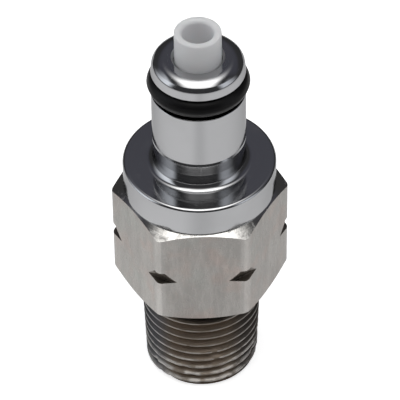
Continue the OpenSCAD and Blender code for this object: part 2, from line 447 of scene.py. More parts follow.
class Effects:
    """Shader node groups that several finishes share, each built once."""

    band_pace: float = 0.12
    broken: Ramp = Ramp(0.5, 0.62)

    def __init__(self) -> None:
        """Builds the groups."""
        self.turning = self._turning_marks()
        self.hairlines = self._hairlines()
        self.patches = self._patches()

    @staticmethod
    def _new(name: str, takes: dict[str, float], gives: list[str]) -> tuple[Tree, Node, Node]:
        """Starts a group.

        Args:
            name: Name of the group.
            takes: Its inputs with their starting values.
            gives: Its outputs.

        Returns:
            The tree, its input node and its output node.
        """
        group = bpy.data.node_groups.new(name, "ShaderNodeTree")
        for label, value in takes.items():
            socket = group.interface.new_socket(label, in_out="INPUT", socket_type="NodeSocketFloat")
            socket.default_value = value
        for label in gives:
            group.interface.new_socket(label, in_out="OUTPUT", socket_type="NodeSocketFloat")
        tree = Tree(group)
        return tree, tree.add("NodeGroupInput"), tree.add("NodeGroupOutput")

    def _turning_marks(self) -> bpy.types.NodeTree:
        """Rings left by a lathe tool, worked out from the radius and the height on the axis."""
        takes = {"Spacing": 0.0001, "Runout": 0.2}
        tree, given, out = self._new("turning_marks", takes, ["Rings", "Bands"])
        place, axes, radius = tree.place()
        along = tree.math("ADD", radius, axes.outputs["Z"])
        slow = tree.noise(place, scale=260.0, detail=1.0)
        drift = tree.math("MULTIPLY", slow, given.outputs["Runout"])
        count = tree.math("ADD", tree.math("DIVIDE", along, given.outputs["Spacing"]), drift)
        fine = {"W": count, "Scale": 1.0, "Detail": 3.0}
        rings = tree.add("ShaderNodeTexNoise", fine, noise_dimensions="1D")
        wide = tree.math("MULTIPLY", count, self.band_pace)
        coarse = {"W": wide, "Scale": 1.0, "Detail": 2.0}
        bands = tree.add("ShaderNodeTexNoise", coarse, noise_dimensions="1D")
        tree.link(rings.outputs["Fac"], out, "Rings")
        tree.link(bands.outputs["Fac"], out, "Bands")
        return tree.tree

    def _hairlines(self) -> bpy.types.NodeTree:
        """Fine long scratches, where a slow noise passes its middle value."""
        takes = {"Scale": 300.0, "Width": 0.004, "Seed": 0.0}
        tree, given, out = self._new("hairlines", takes, ["Lines"])
        place = tree.add("ShaderNodeTexCoord").outputs["Object"]
        seed = given.outputs["Seed"]
        moved = tree.add("ShaderNodeCombineXYZ", {"X": seed, "Y": seed}).outputs[0]
        shifted = tree.add("ShaderNodeVectorMath", {0: place, 1: moved}, operation="ADD").outputs[0]
        inputs = {"Vector": shifted, "Scale": given.outputs["Scale"], "Detail": 1.0}
        slow = tree.add("ShaderNodeTexNoise", inputs).outputs["Fac"]
        off = tree.math("ABSOLUTE", tree.math("SUBTRACT", slow, 0.5))
        line = tree.math("SUBTRACT", 1.0, tree.math("DIVIDE", off, given.outputs["Width"]), clamp=True)
        broken = tree.ramp(tree.noise(shifted, scale=900.0, detail=2.0), *self.broken)
        tree.link(tree.math("MULTIPLY", line, broken), out, "Lines")
        return tree.tree

    def _patches(self) -> bpy.types.NodeTree:
        """Soft patches of handling, stain or dust, with a fine breakup."""
        takes = {"Scale": 200.0, "Low": 0.4, "High": 0.65}
        tree, given, out = self._new("patches", takes, ["Mask", "Fine"])
        place = tree.add("ShaderNodeTexCoord").outputs["Object"]
        inputs = {"Vector": place, "Scale": given.outputs["Scale"], "Detail": 4.0}
        cloud = tree.add("ShaderNodeTexNoise", inputs).outputs["Fac"]
        mask = tree.add(
            "ShaderNodeMapRange",
            {"Value": cloud, "From Min": given.outputs["Low"], "From Max": given.outputs["High"]},
            interpolation_type="SMOOTHSTEP",
        )
        fine = tree.noise(place, scale=5200.0, detail=3.0)
        tree.link(mask.outputs["Result"], out, "Mask")
        tree.link(fine, out, "Fine")
        return tree.tree


@dataclass(frozen=True)
class Finish:
    """What every finish has: a name, a shader and the shared effects."""

    name: str

    def build(self, effects: Effects) -> Material:
        """Builds the material.

        Args:
            effects: The shared node groups.

        Returns:
            The finished material.
        """
        raise NotImplementedError

    def start(self, **constants: object) -> tuple[Material, Tree, Node]:
        """Makes the material and its shader.

        Args:
            constants: Values set on the shader's own sockets, with spaces written as underscores.

        Returns:
            The material, its tree and its Principled shader.
        """
        material = bpy.data.materials.new(self.name)
        material.use_nodes = True
        tree = Tree(material.node_tree)
        shader = tree.add("ShaderNodeBsdfPrincipled")
        for label, value in constants.items():
            shader.inputs[label.replace("_", " ")].default_value = value
        tree.add("ShaderNodeOutputMaterial", {"Surface": shader.outputs[0]})
        return material, tree, shader

    @staticmethod
    def effect(tree: Tree, group: bpy.types.NodeTree, **values: float) -> Node:
        """Places a shared effect with its own values."""
        node = tree.add("ShaderNodeGroup", node_tree=group)
        for label, value in values.items():
            node.inputs[label].default_value = value
        return node

    @staticmethod
    def bump(tree: Tree, shader: Node, height: Socket, distance: float) -> None:
        """Feeds a height, in units of the distance in metres, to the shader's normal."""
        node = tree.add("ShaderNodeBump", {"Height": height, "Distance": distance, "Strength": 1.0})
        tree.link(node.outputs["Normal"], shader, "Normal")


@dataclass(frozen=True)
class PolishedPlate(Finish):
    """Bright plate over a polished turning: fine rings, hairlines and a few smudges."""

    colour: Colour = (0.53, 0.532, 0.54, 1)
    stained: Colour = (0.48, 0.48, 0.486, 1)
    grazing: Colour = (0.6, 0.6, 0.6, 1)
    stain_share: float = 0.35
    roughness: float = 0.085
    smudge_dull: float = 0.05
    band_dull: float = 0.05
    scratch_dull: float = 0.12
    ring_rise: float = 0.35
    scratch_rise: float = -0.35
    relief: float = 0.0000012

    def build(self, effects: Effects) -> Material:
        """Builds the plate from rings, hairlines and smudges."""
        material, tree, shader = self.start(Metallic=1.0, Specular_Tint=self.grazing)
        turning = self.effect(tree, effects.turning, Spacing=0.00009, Runout=0.25)
        hairlines = self.effect(tree, effects.hairlines, Scale=420.0, Width=0.006, Seed=0.3)
        lines = hairlines.outputs["Lines"]
        smudge = self.effect(tree, effects.patches, Scale=320.0, Low=0.48, High=0.68).outputs["Mask"]
        colour = tree.blend(tree.math("MULTIPLY", smudge, self.stain_share), self.colour, self.stained)
        tree.link(colour, shader, "Base Color")
        bands = turning.outputs["Bands"]
        rough = tree.total(
            self.roughness, (smudge, self.smudge_dull), (bands, self.band_dull), (lines, self.scratch_dull)
        )
        tree.link(rough, shader, "Roughness")
        height = tree.total(0.0, (turning.outputs["Rings"], self.ring_rise), (lines, self.scratch_rise))
        self.bump(tree, shader, height, self.relief)
        return material


@dataclass(frozen=True)
class BrushedPlate(Finish):
    """Plate over drawn and brushed bar: grain along the bar, faint warm and cool patches and a painted
    highlight on its rounded corners.
    """

    colour: Colour = (0.43, 0.412, 0.39, 1)
    warm: Colour = (0.47, 0.4, 0.365, 1)
    cool: Colour = (0.41, 0.42, 0.395, 1)
    # Painted highlight: lighter colour on the hexagon's rounded upright corners.
    rubbed_and_highlight: Colour = (0.5, 0.485, 0.465, 1)
    grazing: Colour = (0.7, 0.7, 0.7, 1)
    warm_share: float = 0.7
    cool_share: float = 0.6
    # Where the painted highlight lies: the corners' radius in metres.
    corner_painted_highlight: Ramp = Ramp(0.00695, 0.0072, 0.0, 0.6)
    grain_tone: float = 0.35
    smear_tone: float = 0.65
    shade: Ramp = Ramp(0.32, 0.68, 0.9, 1.1)
    roughness: float = 0.21
    grain_dull: float = 0.12
    grain_rise: float = 0.5
    cross_rise: float = 0.35
    nick_rise: float = -0.5
    along: Stretch = (1, 1, 0.25)
    across: Stretch = (0.12, 0.12, 1)
    relief: float = 0.0000022

    def build(self, effects: Effects) -> Material:
        """Builds the plate from grain, smears, tinted patches, the painted highlight on its corners and
        nicks.
        """
        material, tree, shader = self.start(Metallic=1.0, Specular_Tint=self.grazing)
        place, _, radius = tree.place()
        along = tree.add("ShaderNodeMapping", {"Vector": place, "Scale": self.along}).outputs[0]
        across = tree.add("ShaderNodeMapping", {"Vector": place, "Scale": self.across}).outputs[0]
        grain = tree.noise(along, scale=3600.0, detail=4.0, rough=0.65)
        cross = tree.noise(across, scale=3800.0, detail=3.0, rough=0.6)
        smear = tree.noise(along, scale=900.0, detail=3.0, rough=0.6)
        warm = self.effect(tree, effects.patches, Scale=420.0, Low=0.44, High=0.66).outputs["Mask"]
        cool = self.effect(tree, effects.patches, Scale=300.0, Low=0.5, High=0.7).outputs["Mask"]
        nicks = self.effect(tree, effects.hairlines, Scale=700.0, Width=0.01, Seed=0.7).outputs["Lines"]
        tinted = tree.blend(tree.math("MULTIPLY", warm, self.warm_share), self.colour, self.warm)
        tinted = tree.blend(tree.math("MULTIPLY", cool, self.cool_share), tinted, self.cool)
        # Painted highlight on the rounded corners.
        tinted = tree.blend(tree.ramp(radius, *self.corner_painted_highlight), tinted, self.rubbed_and_highlight)
        tone = tree.total(0.0, (grain, self.grain_tone), (smear, self.smear_tone))
        value = tree.ramp(tone, *self.shade)
        shaded = tree.add("ShaderNodeHueSaturation", {"Color": tinted, "Value": value})
        tree.link(shaded.outputs[0], shader, "Base Color")
        tree.link(tree.total(self.roughness, (grain, self.grain_dull)), shader, "Roughness")
        height = tree.total(
            0.0, (grain, self.grain_rise), (cross, self.cross_rise), (nicks, self.nick_rise)
        )
        self.bump(tree, shader, height, self.relief)
        return material


@dataclass(frozen=True)
class TurnedCut(Finish):
    """Cut by a form tool: bright on the hexagon's chamfers; a dark copy in its groove is painted shade."""

    colour: Colour = (0.6, 0.59, 0.57, 1)
    dark: Colour = (0.06, 0.055, 0.05, 1)
    roughness: float = 0.1
    streak: float = 0.5
    ring_from: float = 0.46
    ring_to: float = 0.6
    torn_dull: float = 0.25
    chatter_rise: float = 0.5
    relief: float = 0.0000075

    def build(self, effects: Effects) -> Material:
        """Builds the cut from rings and torn patches."""
        material, tree, shader = self.start(Metallic=1.0)
        rings = self.effect(tree, effects.turning, Spacing=0.00013, Runout=0.6).outputs["Rings"]
        torn = self.effect(tree, effects.patches, Scale=1100.0, Low=0.5, High=0.62)
        ringed = tree.ramp(rings, self.ring_from, self.ring_to, 0.0, self.streak)
        streaks = tree.math("MULTIPLY", torn.outputs["Mask"], ringed)
        tree.link(tree.blend(streaks, self.colour, self.dark), shader, "Base Color")
        rough = tree.total(self.roughness, (torn.outputs["Mask"], self.torn_dull))
        tree.link(rough, shader, "Roughness")
        height = tree.total(rings, (torn.outputs["Fine"], self.chatter_rise))
        self.bump(tree, shader, height, self.relief)
        return material


@dataclass(frozen=True)
class ThreadPlate(Finish):
    """Stained plate in the pipe thread, with crests that use has worn bright; painted light lifts its roots,
    painted cool light and painted shade tint its left and right sides, a painted shadow darkens its top under
    the hexagon, and a painted highlight widens the worn crests low on the front.
    """

    # Painted light: the roots' colour is lighter than the flanks' to lift the shade that falls in them.
    root: Colour = (0.28, 0.226, 0.178, 1)
    flank: Colour = (0.2, 0.162, 0.128, 1)
    # Painted cool light on the thread's left side.
    painted_cool_light: Colour = (0.18, 0.18, 0.19, 1)
    # Painted shade on the thread's right side.
    shaded: Colour = (0.1, 0.09, 0.082, 1)
    # Painted shadow: near black where the hexagon's shadow falls on the thread's top.
    painted_shadow: Colour = (0.012, 0.011, 0.01, 1)
    bright: Colour = (0.56, 0.535, 0.5, 1)
    root_painted_light: Ramp = Ramp(0.15, 0.95, 0.0, 0.85)
    patch_stain: float = 0.35
    # Where the painted cool light falls: the left side, by the distance aside in metres.
    painted_cool_side: Ramp = Ramp(-0.0024, -0.004, 0.0, 0.85)
    # Where the painted shade falls: the right side, by the distance aside in metres.
    painted_shade_side: Ramp = Ramp(0.0018, 0.0036, 0.0, 0.8)
    # Where the painted shadow falls: the thread's top under the hexagon, by height in metres.
    painted_shadow_top: Ramp = Ramp(0.0079, 0.0083, 0.0, 0.88)
    # Real wear near the thread's foot, times a painted highlight towards the front.
    worn_foot: Ramp = Ramp(0.0045, 0.0005)
    front_highlight: Ramp = Ramp(0.002, -0.0035)
    crest_wear: float = 0.1
    foot_wear_and_highlight: float = 0.55
    rub_level: Ramp = Ramp(0.006, 0.002, 0.3, 1.0)
    rub_least: float = 0.12
    rub_edge: Ramp = Ramp(0.05, 0.6)
    roughness: float = 0.3
    grit_dull: float = 0.16
    grit_rise: float = 0.8
    relief: float = 0.000007

    def build(self, effects: Effects) -> Material:
        """Builds the plate from its depth below the crests, with stains, worn places and its painted light,
        shade, shadow and highlight.
        """
        material, tree, shader = self.start(Metallic=0.75)
        _, axes, radius = tree.place()
        aside, front, height = (axes.outputs[letter] for letter in "XYZ")
        rise = tree.math("SUBTRACT", height, Thread.gauge_l * MM)
        crest = tree.total(Thread.gauge_r * MM, (rise, Thread.slope))
        below = tree.math("DIVIDE", tree.math("SUBTRACT", crest, radius), Thread.depth * MM)
        stain = self.effect(tree, effects.patches, Scale=420.0, Low=0.35, High=0.68)
        rub = self.effect(tree, effects.patches, Scale=900.0, Low=0.36, High=0.62)
        turning = self.effect(tree, effects.turning, Spacing=0.00007, Runout=0.8)
        # worn: the low front, where real wear at the foot meets the painted highlight on the front.
        worn = tree.math(
            "MULTIPLY", tree.ramp(height, *self.worn_foot), tree.ramp(front, *self.front_highlight)
        )
        edge = tree.total(self.crest_wear, (worn, self.foot_wear_and_highlight))
        near_crest = tree.math("SUBTRACT", 1.0, tree.math("DIVIDE", below, edge), clamp=True)
        patches = tree.math("MULTIPLY", rub.outputs["Mask"], tree.ramp(height, *self.rub_level))
        amount = tree.math("ADD", patches, self.rub_least)
        # Crests worn bright by real use, widened low on the front by the painted highlight.
        rubbed_and_highlight = tree.math("MULTIPLY", tree.ramp(near_crest, *self.rub_edge), amount, clamp=True)
        patchy = tree.math("MULTIPLY", stain.outputs["Mask"], self.patch_stain)
        # stained: the painted light in the roots, with real stain patches over it.
        stained = tree.math("ADD", tree.ramp(below, *self.root_painted_light), patchy, clamp=True)
        colour = tree.blend(stained, self.flank, self.root)
        # Painted cool light, painted shade and painted shadow, then the worn crests with their painted
        # highlight.
        for share, tone in (
            (tree.ramp(aside, *self.painted_cool_side), self.painted_cool_light),
            (tree.ramp(aside, *self.painted_shade_side), self.shaded),
            (tree.ramp(height, *self.painted_shadow_top), self.painted_shadow),
            (rubbed_and_highlight, self.bright),
        ):
            colour = tree.blend(share, colour, tone)
        tree.link(colour, shader, "Base Color")
        rough = tree.total(self.roughness, (stain.outputs["Fine"], self.grit_dull))
        tree.link(rough, shader, "Roughness")
        bumps = tree.total(turning.outputs["Rings"], (rub.outputs["Fine"], self.grit_rise))
        self.bump(tree, shader, bumps, self.relief)
        return material


@dataclass(frozen=True)
class SealRubber(Finish):
    """Black moulded seal rubber with a faint bloom."""

    colour: Colour = (0.0035, 0.0032, 0.0035, 1)
    bloom: Colour = (0.009, 0.009, 0.0095, 1)
    bloom_share: float = 0.6
    roughness: float = 0.36
    dust_dull: float = 0.14
    relief: float = 0.0000022

    def build(self, effects: Effects) -> Material:
        """Builds the rubber with its bloom."""
        material, tree, shader = self.start(Specular_IOR_Level=0.2)
        dust = self.effect(tree, effects.patches, Scale=520.0, Low=0.5, High=0.75)
        bloomed = tree.math("MULTIPLY", dust.outputs["Mask"], self.bloom_share)
        tree.link(tree.blend(bloomed, self.colour, self.bloom), shader, "Base Color")
        rough = tree.total(self.roughness, (dust.outputs["Fine"], self.dust_dull))
        tree.link(rough, shader, "Roughness")
        self.bump(tree, shader, dust.outputs["Fine"], self.relief)
        return material


@dataclass(frozen=True)
class Acetal(Finish):
    """Natural white acetal: satin, slightly translucent, with faint machining rings."""

    colour: Colour = (0.95, 0.95, 0.97, 1)
    scuffed: Colour = (0.9, 0.9, 0.915, 1)
    scuff_share: float = 0.4
    roughness: float = 0.4
    scuff_dull: float = 0.1
    ring_rise: float = 0.7
    relief: float = 0.0000022

    def build(self, effects: Effects) -> Material:
        """Builds the acetal with its rings and scuffs."""
        material, tree, shader = self.start(
            Subsurface_Weight=1.0, Subsurface_Radius=(1.0, 0.95, 0.95), Subsurface_Scale=0.0007, IOR=1.48
        )
        rings = self.effect(tree, effects.turning, Spacing=0.00016, Runout=0.3).outputs["Rings"]
        scuff = self.effect(tree, effects.patches, Scale=600.0, Low=0.5, High=0.72)
        worn = tree.math("MULTIPLY", scuff.outputs["Mask"], self.scuff_share)
        tree.link(tree.blend(worn, self.colour, self.scuffed), shader, "Base Color")
        rough = tree.total(self.roughness, (scuff.outputs["Mask"], self.scuff_dull))
        tree.link(rough, shader, "Roughness")
        height = tree.total(scuff.outputs["Fine"], (rings, self.ring_rise))
        self.bump(tree, shader, height, self.relief)
        return material


@dataclass(frozen=True)
class SpringWire(Finish):
    """Drawn stainless wire, slightly dull with die lines."""

    colour: Colour = (0.42, 0.42, 0.425, 1)
    roughness: float = 0.2
    grime_dull: float = 0.2
    relief: float = 0.000003

    def build(self, effects: Effects) -> Material:
        """Builds the wire with its grime."""
        material, tree, shader = self.start(Metallic=1.0, Base_Color=self.colour)
        grime = self.effect(tree, effects.patches, Scale=700.0, Low=0.4, High=0.7)
        rough = tree.total(self.roughness, (grime.outputs["Mask"], self.grime_dull))
        tree.link(rough, shader, "Roughness")
        self.bump(tree, shader, grime.outputs["Fine"], self.relief)
        return material


@dataclass
class Piece:
    """A modelled piece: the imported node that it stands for, the body that it moves with and its slot."""

    node: str
    body: str
    slot: Slot

    def settle(self, piece: Solid, finishes: list[Material]) -> None:
        """Brings a piece to metres, dresses it and ties it to the frame.

        Args:
            piece: The modelled piece, in millimetres.
            finishes: Its materials, in the order of its faces' indices.
        """
        for finish in finishes:
            piece.data.materials.append(finish)
        Bench.to_metres(piece)
        piece.name = self.node + "_finished"
        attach(piece, self.body)
        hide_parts(self.node)
        LOG.info("%s: %d faces on body %s", piece.name, len(piece.data.polygons), self.body)


@dataclass
class StemBody(Piece):
    """The polished turning: spigot, collar, latch groove, stem, seal groove and rounded nose."""

    node: str = "stem_body"
    body: str = "coupling_body"
    slot: Slot = Slot.POLISHED
    collar_t: float = 2.68
    collar_rim_r: float = 0.28
    collar_foot_r: float = 0.12
    stem_r: float = 3.82
    latch_w: float = 1.45
    latch_r: float = 3.65
    latch_flare: float = 0.06
    latch_fillet: float = 0.66
    scribe_z: float = 2.69
    scribe_w: float = 0.28
    scribe_t: float = 0.1
    foot_lip: float = 0.015
    foot_taper: float = 0.05
    foot_edge: float = 0.1
    stem_l: float = 6.02
    seal_groove_w: float = 2.08
    shoulder: Corner = Corner(0.095, 0.54, 0.77)
    crown: Corner = Corner(0.672, 0.0, 1.27)
    edge: float = 0.06
    guide_r: float = 1.94
    guide_chamfer: float = 0.21
    chamber_r: float = 3.0
    seat_drop: float = 0.63
    spigot_r: float = 4.6
    ring_gap: float = 0.02
    scribe_low: float = 0.7
    spigot_edge: float = 0.12
    groove_fillet: float = 0.1
    bore_edge: float = 0.05
    lip_edge: float = 0.03
    segments: int = 240
    span: Span = field(default_factory=lambda: node_span("stem_body"))
    hex_top: float = field(default_factory=lambda: node_span("hex_adapter").high)
    seal: Span = field(default_factory=lambda: node_span("stem_seal_ring"))

    def outline(self) -> Outline:
        """Outside and bore in one closed outline."""
        top = self.span.high
        latch_z = self.hex_top + self.collar_t
        stem_z = latch_z + self.latch_w
        groove_z = stem_z + self.stem_l
        scribe_z = latch_z + self.scribe_z
        nose_z = groove_z + self.seal_groove_w
        seal_section = self.seal.high - self.seal.low
        groove_r = self.seal.r - seal_section - self.ring_gap
        seat_z = groove_z - self.seat_drop
        seat_foot = seat_z - (self.chamber_r - self.guide_r)
        return softened([
            Corner(self.chamber_r, self.span.low),
            Corner(self.spigot_r, self.span.low, self.spigot_edge),
            Corner(self.spigot_r, self.hex_top),
            Corner(self.span.r, self.hex_top, self.collar_foot_r),
            Corner(self.span.r, latch_z, self.collar_rim_r),
            Corner(self.latch_r + self.latch_flare, latch_z, self.latch_fillet),
            Corner(self.latch_r, stem_z, self.lip_edge),
            Corner(self.stem_r - self.foot_taper, stem_z, self.foot_edge),
            Corner(self.stem_r - self.foot_lip, scribe_z - self.scribe_low * self.scribe_w),
            Corner(self.stem_r - self.scribe_t, scribe_z),
            Corner(self.stem_r, scribe_z + (1 - self.scribe_low) * self.scribe_w),
            Corner(self.stem_r, groove_z, self.edge),
            Corner(groove_r, groove_z, self.groove_fillet),
            Corner(groove_r, nose_z, self.groove_fillet),
            Corner(self.stem_r, nose_z, self.edge),
            Corner(self.stem_r - self.shoulder.r, top - self.shoulder.z, self.shoulder.fillet),
            Corner(self.stem_r - self.crown.r, top - self.crown.z, self.crown.fillet),
            Corner(self.guide_r + self.guide_chamfer, top, self.lip_edge),
            Corner(self.guide_r, top - self.guide_chamfer, self.bore_edge),
            Corner(self.guide_r, seat_z, self.bore_edge),
            Corner(self.chamber_r, seat_foot),
        ])

    def build(self, finish: Material) -> None:
        """Turns the piece, smooths it and dresses it."""
        piece = Bench.turned(self.node + "_new", self.outline(), self.segments, ring=True)
        Bench.smooth(piece)
        self.settle(piece, [finish])


@dataclass
class HexAdapter(Piece):
    """The hexagon with its chamfers and notched edges, its pipe thread, sockets and bore."""

    node: str = "hex_adapter"
    body: str = "coupling_body"
    slot: Slot = Slot.BRUSHED
    shank_l: float = 9.98
    edge_r: float = 0.55
    face_r: float = 6.05
    chamfer_angle: float = math.radians(28)
    notch_r: float = 6.69
    notch_z: float = 14.42
    notch_top_r: float = 7.07
    notch_w: float = 1.06
    notch_slope: float = 0.17
    notch_edge: float = 0.03
    notch_lift: float = 0.02
    edge_steps: int = 8
    crest_share: float = 0.07
    root_share: float = 0.12
    tooth_step: float = math.radians(22)
    root_fillet: float = 0.11
    crest_fillet: float = 0.045
    first_crest: float = 0.72
    first_turn: float = 0.75
    turns_below: int = 2
    thread_weld: float = 0.0005
    trim_slack: float = 0.00001
    end_chamfer: float = 0.4
    relief_l: float = 0.6
    chamber_r: float = 3.0
    socket_r: float = 4.63
    socket_end: float = 15.3
    pocket_r: float = 5.54
    pocket_t: float = 0.94
    flow_chamfer: float = 0.3
    thread_steps: int = 144
    segments: int = 240
    dent_count: int = 46
    dent_seed: int = 11
    dent_at: tuple[float, float] = (-72, 42)
    dent_turns: float = 2.1
    dent_lowest: float = 0.2
    dent_wide: tuple[float, float] = (0.18, 0.5)
    dent_deep: tuple[float, float] = (0.02, 0.11)
    dent_high: float = 0.25
    dent_drag: float = 0.3
    dent_reach: tuple[float, float] = (-0.5, 6)
    crest_part: float = 0.25
    end_lip: float = 0.3
    end_edge: float = 0.04
    trim_over: float = 0.4
    relief_gap: float = 0.02
    relief_fillet: float = 0.08
    relief_slope: tuple[float, float] = (0.35, 0.1)
    shank_slack: float = 0.005
    upright: float = 0.05
    groove_margin: tuple[float, float] = (0.3, 0.1)
    span: Span = field(default_factory=lambda: node_span("hex_adapter"))
    flat_r: float = field(default_factory=lambda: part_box("hex_adapter")[1].y / MM)

    @property
    def corner_r(self) -> float:
        """Radius of the hexagon's sharp corners."""
        return self.flat_r / math.cos(math.pi / 6)

    def bore(self) -> tuple[float, float]:
        """Radius and depth of the bore, from the record's mount."""
        mount = next(m for m in frame["record"]["mounts"] if m["name"] == "flow_bore")
        depth = mount["dims"]["length_mm"] + self.flow_chamfer
        return mount["dims"]["r_mm"], depth

    def crest_r(self, z: float) -> float:
        """Radius of the thread's crests at a height."""
        return Thread.gauge_r + (z - Thread.gauge_l) * Thread.slope

    def tooth(self) -> Outline:
        """One pitch of the thread's profile, from root to root, with its crest at height 0."""
        root, crest = Thread.gauge_r - Thread.depth, Thread.gauge_r
        half = Thread.pitch / 2
        crest_flat, root_flat = Thread.pitch * self.crest_share, Thread.pitch * self.root_share
        return softened([
            Corner(root, -half),
            Corner(root, root_flat - half, self.root_fillet),
            Corner(crest, -crest_flat, self.crest_fillet),
            Corner(crest, crest_flat, self.crest_fillet),
            Corner(root, half - root_flat, self.root_fillet),
            Corner(root, half),
        ], step=self.tooth_step)

    def thread(self) -> Solid:
        """Sweeps the tooth up the tapered shank, dents its crests and trims its ends."""
        tooth = self.tooth()
        start = self.first_crest - self.first_turn * Thread.pitch - self.turns_below * Thread.pitch
        turns = math.ceil(self.shank_l / Thread.pitch) + self.turns_below + 2
        Bench.clear()
        bpy.ops.mesh.primitive_plane_add(size=1)
        piece = bpy.context.object
        Bench.edit(piece)
        bpy.ops.mesh.select_mode(type="VERT")
        bpy.ops.mesh.merge(type="CENTER")
        bpy.ops.transform.translate(value=(tooth[0][0], 0, tooth[0][1] + start))
        for (r0, z0), (r1, z1) in zip(tooth, tooth[1:]):
            bpy.ops.mesh.extrude_vertices_move(TRANSFORM_OT_translate={"value": (r1 - r0, 0, z1 - z0)})
        Bench.close()
        Bench.sweep(piece, Thread.pitch, turns, self.thread_steps)
        Bench.edit(piece)
        bpy.ops.mesh.remove_doubles(threshold=self.thread_weld)
        Bench.close(outward=True)
        self.taper(piece)
        self.dent(piece)
        for level, way in ((0.0, -1), (self.shank_l + self.relief_l, 1)):
            Bench.edit(piece)
            bpy.ops.mesh.bisect(
                plane_co=(0, 0, level), plane_no=(0, 0, way),
                use_fill=True, clear_outer=True, threshold=self.trim_slack,
            )
            Bench.close()
        Bench.edit(piece)
        Bench.close(outward=True)
        return piece

    def taper(self, piece: Solid) -> None:
        """Moves every point of the thread out or in to the 1 in 16 taper."""
        for vertex in piece.data.vertices:
            x, y, z = vertex.co
            r = math.hypot(x, y)
            grow = (r + (z - Thread.gauge_l) * Thread.slope) / r
            vertex.co = (x * grow, y * grow, z)

    def dent(self, piece: Solid) -> None:
        """Flattens the crests where the thread has been knocked, most of it low on the front."""
        dice = random.Random(self.dent_seed)
        dents = []
        for _ in range(self.dent_count):
            angle = math.radians(dice.gauss(*self.dent_at))
            turn = int(abs(dice.gauss(0, self.dent_turns)))
            z = self.first_crest + (turn + angle / FULL_TURN - self.first_turn + 1) * Thread.pitch
            if z > self.dent_lowest:
                wide, deep = dice.uniform(*self.dent_wide), dice.uniform(*self.dent_deep)
                dents.append((angle, z, wide, deep))
        for vertex in piece.data.vertices:
            x, y, z = vertex.co
            if not self.dent_reach[0] <= z <= self.dent_reach[1]:
                continue
            r = math.hypot(x, y)
            if r < self.crest_r(z) - self.crest_part * Thread.depth:
                continue
            angle = math.atan2(y, x)
            for at, level, wide, deep in dents:
                aside = (angle - at + math.pi) % FULL_TURN - math.pi
                off = math.hypot(aside * r / wide, (z - level) / self.dent_high)
                if off < 1:
                    drop = deep * (1 - off * off)
                    vertex.co.x -= x / r * drop
                    vertex.co.y -= y / r * drop
                    vertex.co.z -= self.dent_drag * drop

    def envelope(self) -> Solid:
        """Turned form that trims the thread: end chamfer below, relief under the hexagon."""
        end_r = self.crest_r(0) - self.end_chamfer
        wide_r = self.crest_r(self.shank_l) + self.trim_over
        relief_r = self.crest_r(self.shank_l) - Thread.depth - self.relief_gap
        top = self.shank_l + self.trim_over
        before, after = self.relief_slope
        slope_l = wide_r - relief_r
        relief_z = self.shank_l - self.relief_l
        outline = softened([
            Corner(end_r - self.end_lip, 0),
            Corner(end_r, 0, self.end_edge),
            Corner(wide_r, wide_r - end_r),
            Corner(wide_r, relief_z - slope_l * before),
            Corner(relief_r, relief_z + slope_l * after, self.relief_fillet),
            Corner(relief_r, top),
        ])
        return Bench.turned("envelope", outline, self.segments, ring=False)

    def head(self) -> Solid:
        """Hexagon with rounded upright edges, chamfered ends and the turned groove."""
        height = self.span.high - self.shank_l + 2 * OVER
        Bench.clear()
        bpy.ops.mesh.primitive_cylinder_add(vertices=6, radius=self.corner_r, depth=height)
        piece = bpy.context.object
        Bench.edit(piece)
        bpy.ops.transform.rotate(value=math.pi / 6, orient_axis="Z", center_override=(0, 0, 0))
        bpy.ops.transform.translate(value=(0, 0, self.shank_l - OVER + height / 2))
        Bench.close()
        Bench.edit(piece, lambda edge: abs(edge.verts[0].co.z - edge.verts[1].co.z) > height / 2)
        reach = self.edge_r * math.tan(math.pi / 6)
        bpy.ops.mesh.bevel(offset=reach, offset_type="OFFSET", segments=self.edge_steps, affect="EDGES")
        Bench.close()
        wide_r = self.corner_r + OVER
        rise = (wide_r - self.face_r) * math.tan(self.chamfer_angle)
        drop = (wide_r - self.notch_r) * self.notch_slope
        notch_top = self.notch_z + self.notch_w
        form = Bench.turned("form", softened([
            Corner(self.face_r, self.shank_l),
            Corner(wide_r, self.shank_l + rise),
            Corner(wide_r, self.notch_z - drop),
            Corner(self.notch_r, self.notch_z, self.notch_edge),
            Corner(self.notch_top_r, notch_top, self.notch_edge),
            Corner(wide_r, notch_top + self.notch_lift),
            Corner(wide_r, self.span.high - rise),
            Corner(self.face_r, self.span.high),
        ]), self.segments, ring=False)
        Bench.combine(piece, form, Cut.COMMON)
        return piece

    def passage(self) -> Solid:
        """Cutting form of the bore, the chamber, the spigot's socket and the ring's pocket."""
        flow_r, flow_l = self.bore()
        top = self.span.high
        return Bench.turned("passage", [
            (flow_r + self.flow_chamfer + OVER, -OVER),
            (flow_r, self.flow_chamfer),
            (flow_r, flow_l),
            (self.chamber_r, flow_l),
            (self.chamber_r, self.socket_end),
            (self.socket_r, self.socket_end),
            (self.socket_r, top - self.pocket_t),
            (self.pocket_r, top - self.pocket_t),
            (self.pocket_r, top + OVER),
        ], self.segments, ring=False)

    def sort_faces(self, piece: Solid) -> None:
        """Gives each face the index of its finish."""
        groove_low = self.notch_z - self.groove_margin[0]
        groove_high = self.notch_z + self.notch_w + self.groove_margin[1]
        for face in piece.data.polygons:
            level = face.center.z
            out = math.hypot(face.center.x, face.center.y)
            if level < self.shank_l - self.shank_slack:
                face.material_index = Part.THREAD
            elif abs(face.normal.z) < self.upright and out > self.face_r:
                face.material_index = Part.FLAT
            elif groove_low < level < groove_high and out > self.face_r:
                face.material_index = Part.GROOVE
            else:
                face.material_index = Part.CUT

